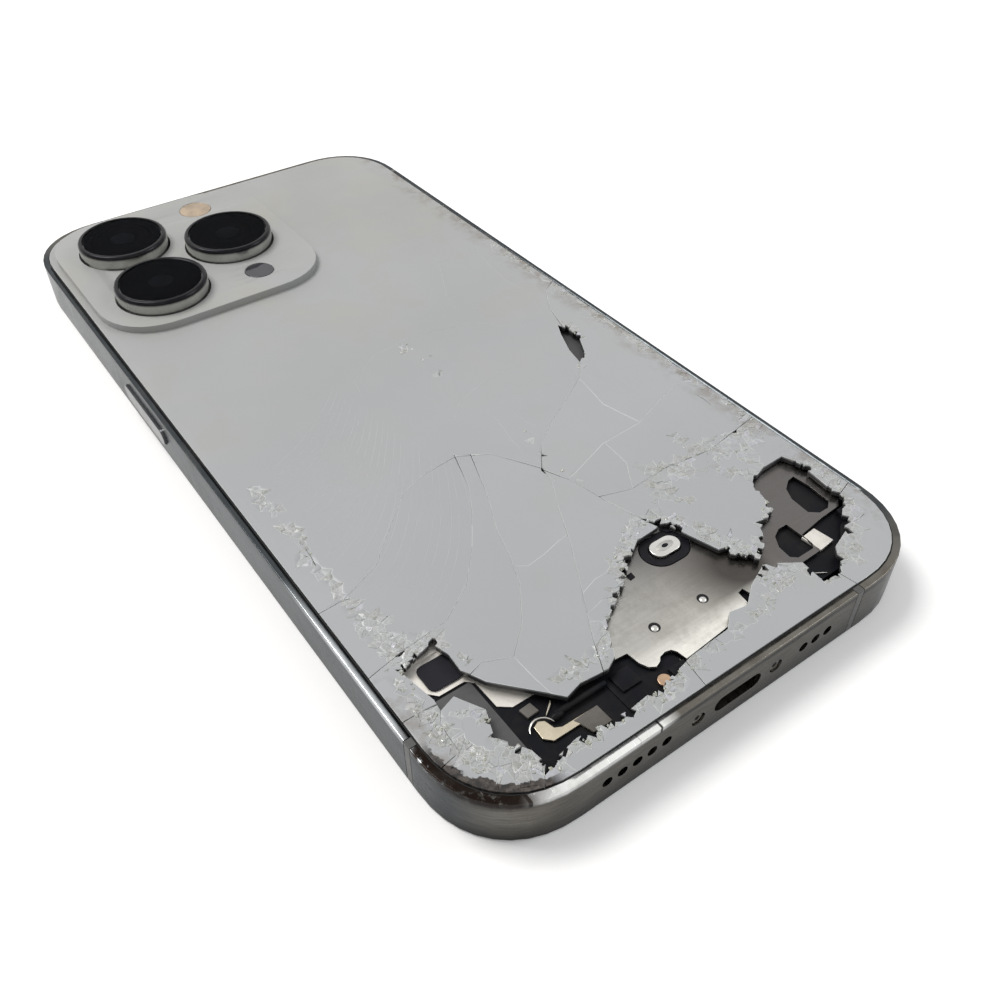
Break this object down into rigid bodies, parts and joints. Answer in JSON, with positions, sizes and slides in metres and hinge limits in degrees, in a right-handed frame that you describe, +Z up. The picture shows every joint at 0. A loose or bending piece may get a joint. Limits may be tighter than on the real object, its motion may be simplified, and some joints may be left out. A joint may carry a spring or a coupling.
{
  "type": "smartphone with a shattered back glass",
  "caption": "Slab phone lying on its screen, its back glass shattered and partly gone at the charging end, with camera corner, press buttons, ring switch and card tray.",
  "frame": {"origin": "middle of the face that it rests on, which is the screen glass", "axes": "+Y along the body towards the camera end, +Z up out of the back glass, and the cameras at -X"},
  "size_m": [0.0724, 0.1474, 0.0114],
  "materials": {
    "polished_steel": "polished, scuffed",
    "sheet_steel": "satin",
    "screw_steel": "dull",
    "dark_glass": "black glass",
    "silver_glass": "silver-backed glass, shattered",
    "black_plastic": "moulded",
    "strip_plastic": "grey",
    "battery_film": "black wrap",
    "board_green": "solder mask",
    "bright_foil": "bright foil",
    "graphite": "dark grey film",
    "gold_contact": "pale gold plate",
    "copper": "bare copper",
    "flash_warm": "warm clear lens"
  },
  "bodies": {
    "phone": {"frame_band": "polished_steel", "steel_back_plate": "polished_steel", "lens_ring_upper": "polished_steel", "lens_ring_lower": "polished_steel", "lens_ring_side": "polished_steel", "chassis_plate": "sheet_steel", "charging_port": "sheet_steel", "upper_shield_can": "sheet_steel", "lower_shield_can": "sheet_steel", "magnet_ring": "sheet_steel", "grounding_post": "sheet_steel", "bottom_screw_left": "screw_steel", "bottom_screw_right": "screw_steel", "front_glass": "dark_glass", "lens_window_upper": "dark_glass", "lens_window_lower": "dark_glass", "lens_window_side": "dark_glass", "depth_sensor_window": "dark_glass", "back_glass_main": "silver_glass", "glass_shard_left_arc": "silver_glass", "glass_shard_lower_arc": "silver_glass", "glass_shard_long": "silver_glass", "glass_shard_centre": "silver_glass", "glass_shard_right_upper": "silver_glass", "glass_shard_right_lower": "silver_glass", "glass_shard_right_corner": "silver_glass", "glass_shard_bottom_right": "silver_glass", "glass_shard_bottom_left": "silver_glass", "glass_shard_left_corner": "silver_glass", "glass_shard_left_border": "silver_glass", "display_panel": "black_plastic", "loudspeaker": "black_plastic", "haptic_engine": "black_plastic", "earpiece_speaker": "black_plastic", "camera_module_upper": "black_plastic", "camera_module_lower": "black_plastic", "camera_module_side": "black_plastic", "foil_pad": "black_plastic", "acoustic_tube": "black_plastic", "oval_bush": "black_plastic", "antenna_strip_left": "strip_plastic", "antenna_strip_right": "strip_plastic", "antenna_strip_charging_end": "strip_plastic", "antenna_strip_camera_end": "strip_plastic", "battery": "battery_film", "logic_board": "board_green", "foil_label": "bright_foil", "graphite_sheet": "graphite", "graphite_film": "graphite", "microphone_mesh": "graphite", "speaker_contact": "gold_contact", "charging_coil": "copper", "copper_dot": "copper", "flash_lens": "flash_warm"},
    "power": {"power_button": "polished_steel"},
    "volume_up": {"volume_up_button": "polished_steel"},
    "volume_down": {"volume_down_button": "polished_steel"},
    "silencer": {"ring_switch": "polished_steel"},
    "tray": {"card_tray": "polished_steel"}
  },
  "joints": [
    {"name": "power_press", "type": "slide", "parent": "phone", "child": "power", "axis": [1, 0, 0], "range_m": [0, 0.0003], "stiffness_N_per_m": 4000},
    {"name": "volume_up_press", "type": "slide", "parent": "phone", "child": "volume_up", "axis": [-1, 0, 0], "range_m": [0, 0.0003], "stiffness_N_per_m": 4000},
    {"name": "volume_down_press", "type": "slide", "parent": "phone", "child": "volume_down", "axis": [-1, 0, 0], "range_m": [0, 0.0003], "stiffness_N_per_m": 4000},
    {"name": "ring_switch_slide", "type": "slide", "parent": "phone", "child": "silencer", "axis": [0, 0, 1], "range_m": [-0.0005, 0.0005]},
    {"name": "card_tray_slide", "type": "slide", "parent": "phone", "child": "tray", "axis": [1, 0, 0], "range_m": [0, 0.0125]}
  ]
}
